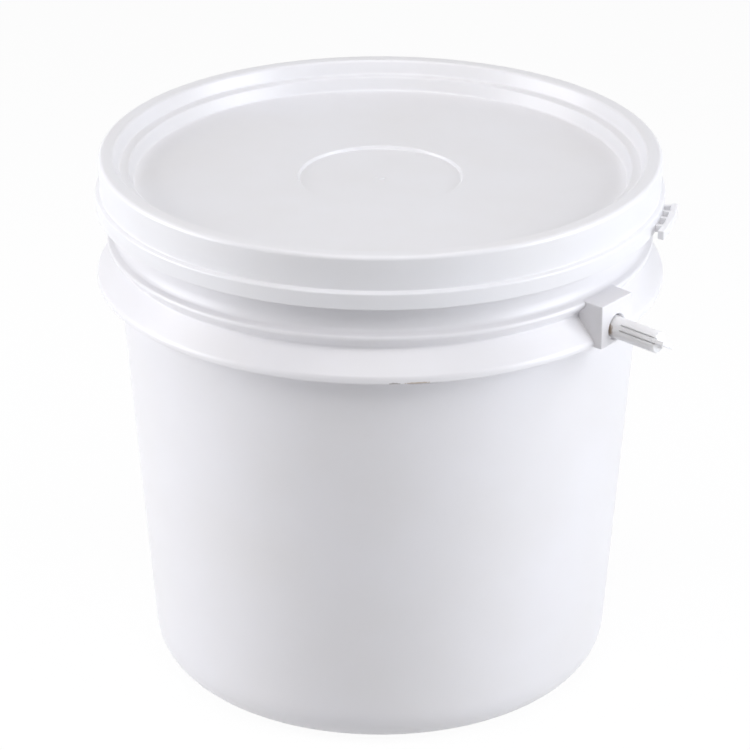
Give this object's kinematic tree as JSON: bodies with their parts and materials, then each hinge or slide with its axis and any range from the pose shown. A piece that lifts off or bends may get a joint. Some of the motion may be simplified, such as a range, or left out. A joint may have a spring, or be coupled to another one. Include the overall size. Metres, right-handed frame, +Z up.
{
  "type": "lidded plastic bucket",
  "caption": "Tapered round moulded plastic pail with drip ring, handle ears and pegs, and a press-on lid with stepped well and pull-tab band.",
  "frame": {"origin": "middle of the foot, on the plane the pail stands on", "axes": "+Z up through the lid, +X out through the ear that the picture shows, +Y to its left seen from outside"},
  "size_m": [0.3346, 0.2702, 0.2626],
  "materials": {
    "pail_plastic": "satin, as moulded",
    "lid_plastic": "satin, as moulded",
    "peg_plastic": "satin, as moulded"
  },
  "bodies": {
    "pail": {"pail": "pail_plastic"},
    "lid": {"lid": "lid_plastic"},
    "peg_a": {"peg_a": "peg_plastic"},
    "peg_b": {"peg_b": "peg_plastic"}
  },
  "joints": [
    {"name": "lid_lift", "type": "slide", "parent": "pail", "child": "lid", "axis": [0, 0, 1], "range_m": [0, 0.2]},
    {"name": "peg_a_turn", "type": "hinge", "parent": "pail", "child": "peg_a", "pos_m": [0.1372, 0, 0.209], "axis": [0.9983, 0, -0.0576], "continuous": true},
    {"name": "peg_b_turn", "type": "hinge", "parent": "pail", "child": "peg_b", "pos_m": [-0.1372, 0, 0.209], "axis": [-0.9983, 0, -0.0576], "continuous": true}
  ]
}
